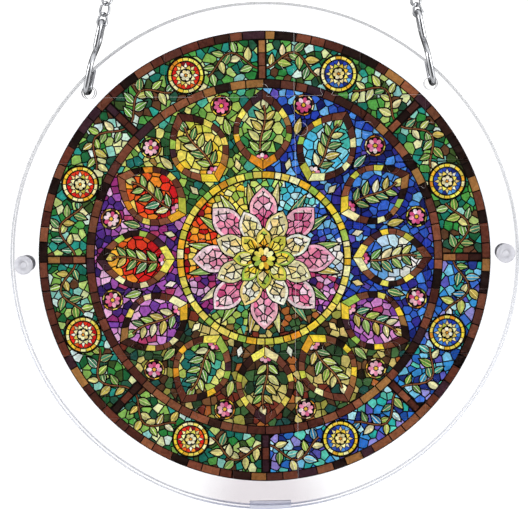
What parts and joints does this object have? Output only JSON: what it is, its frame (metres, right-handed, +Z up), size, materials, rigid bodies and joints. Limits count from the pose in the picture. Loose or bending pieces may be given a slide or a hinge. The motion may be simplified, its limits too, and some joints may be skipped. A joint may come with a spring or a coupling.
{
  "type": "acrylic puzzle suncatcher",
  "caption": "Round stained-glass style jigsaw disc held between two clear plates, hung by S-hooks and chains from a ring.",
  "frame": {"origin": "inside top of the hanging ring, where it rests on a hook", "axes": "+Z up along the hanging line, -Y towards the front of the print, +X to the right seen from the front"},
  "size_m": [0.2, 0.0155, 0.483],
  "materials": {
    "clear_acrylic": "clear cast sheet with flame-polished, laser-cut edges",
    "frosted_plastic": "moulded natural nylon, slightly cloudy",
    "polished_steel": "bright polished wire",
    "print_forest_glass": "acrylic sheet with a flat stained-glass print on its front face",
    "print_blue_glass": "acrylic sheet with a flat stained-glass print on its front face",
    "print_leaf_glass": "acrylic sheet with a flat stained-glass print on its front face",
    "print_umber_glass": "acrylic sheet with a flat stained-glass print on its front face",
    "print_ember_glass": "acrylic sheet with a flat stained-glass print on its front face",
    "print_violet_glass": "acrylic sheet with a flat stained-glass print on its front face"
  },
  "bodies": {
    "root": {"back_plate": "clear_acrylic", "front_plate": "clear_acrylic", "hanging_ring": "polished_steel", "left_chain": "polished_steel", "left_hook": "polished_steel", "left_rivet": "frosted_plastic", "puzzle_piece_r1c2": "print_forest_glass", "puzzle_piece_r1c3": "print_forest_glass", "puzzle_piece_r1c4": "print_forest_glass", "puzzle_piece_r1c5": "print_forest_glass", "puzzle_piece_r1c6": "print_forest_glass", "puzzle_piece_r2c1": "print_forest_glass", "puzzle_piece_r2c2": "print_forest_glass", "puzzle_piece_r2c3": "print_leaf_glass", "puzzle_piece_r2c4": "print_leaf_glass", "puzzle_piece_r2c5": "print_leaf_glass", "puzzle_piece_r2c6": "print_forest_glass", "puzzle_piece_r2c7": "print_forest_glass", "puzzle_piece_r3c1": "print_forest_glass", "puzzle_piece_r3c2": "print_ember_glass", "puzzle_piece_r3c3": "print_ember_glass", "puzzle_piece_r3c4": "print_violet_glass", "puzzle_piece_r3c5": "print_violet_glass", "puzzle_piece_r3c6": "print_violet_glass", "puzzle_piece_r3c7": "print_forest_glass", "puzzle_piece_r4c1": "print_forest_glass", "puzzle_piece_r4c2": "print_ember_glass", "puzzle_piece_r4c3": "print_ember_glass", "puzzle_piece_r4c4": "print_violet_glass", "puzzle_piece_r4c5": "print_violet_glass", "puzzle_piece_r4c6": "print_violet_glass", "puzzle_piece_r4c7": "print_forest_glass", "puzzle_piece_r5c1": "print_forest_glass", "puzzle_piece_r5c2": "print_ember_glass", "puzzle_piece_r5c3": "print_ember_glass", "puzzle_piece_r5c4": "print_violet_glass", "puzzle_piece_r5c5": "print_violet_glass", "puzzle_piece_r5c6": "print_violet_glass", "puzzle_piece_r5c7": "print_blue_glass", "puzzle_piece_r6c1": "print_forest_glass", "puzzle_piece_r6c2": "print_forest_glass", "puzzle_piece_r6c3": "print_umber_glass", "puzzle_piece_r6c4": "print_umber_glass", "puzzle_piece_r6c5": "print_umber_glass", "puzzle_piece_r6c6": "print_blue_glass", "puzzle_piece_r6c7": "print_blue_glass", "puzzle_piece_r7c2": "print_forest_glass", "puzzle_piece_r7c3": "print_forest_glass", "puzzle_piece_r7c4": "print_forest_glass", "puzzle_piece_r7c5": "print_blue_glass", "puzzle_piece_r7c6": "print_blue_glass", "right_chain": "polished_steel", "right_hook": "polished_steel", "right_rivet": "frosted_plastic"}
  },
  "joints": []
}
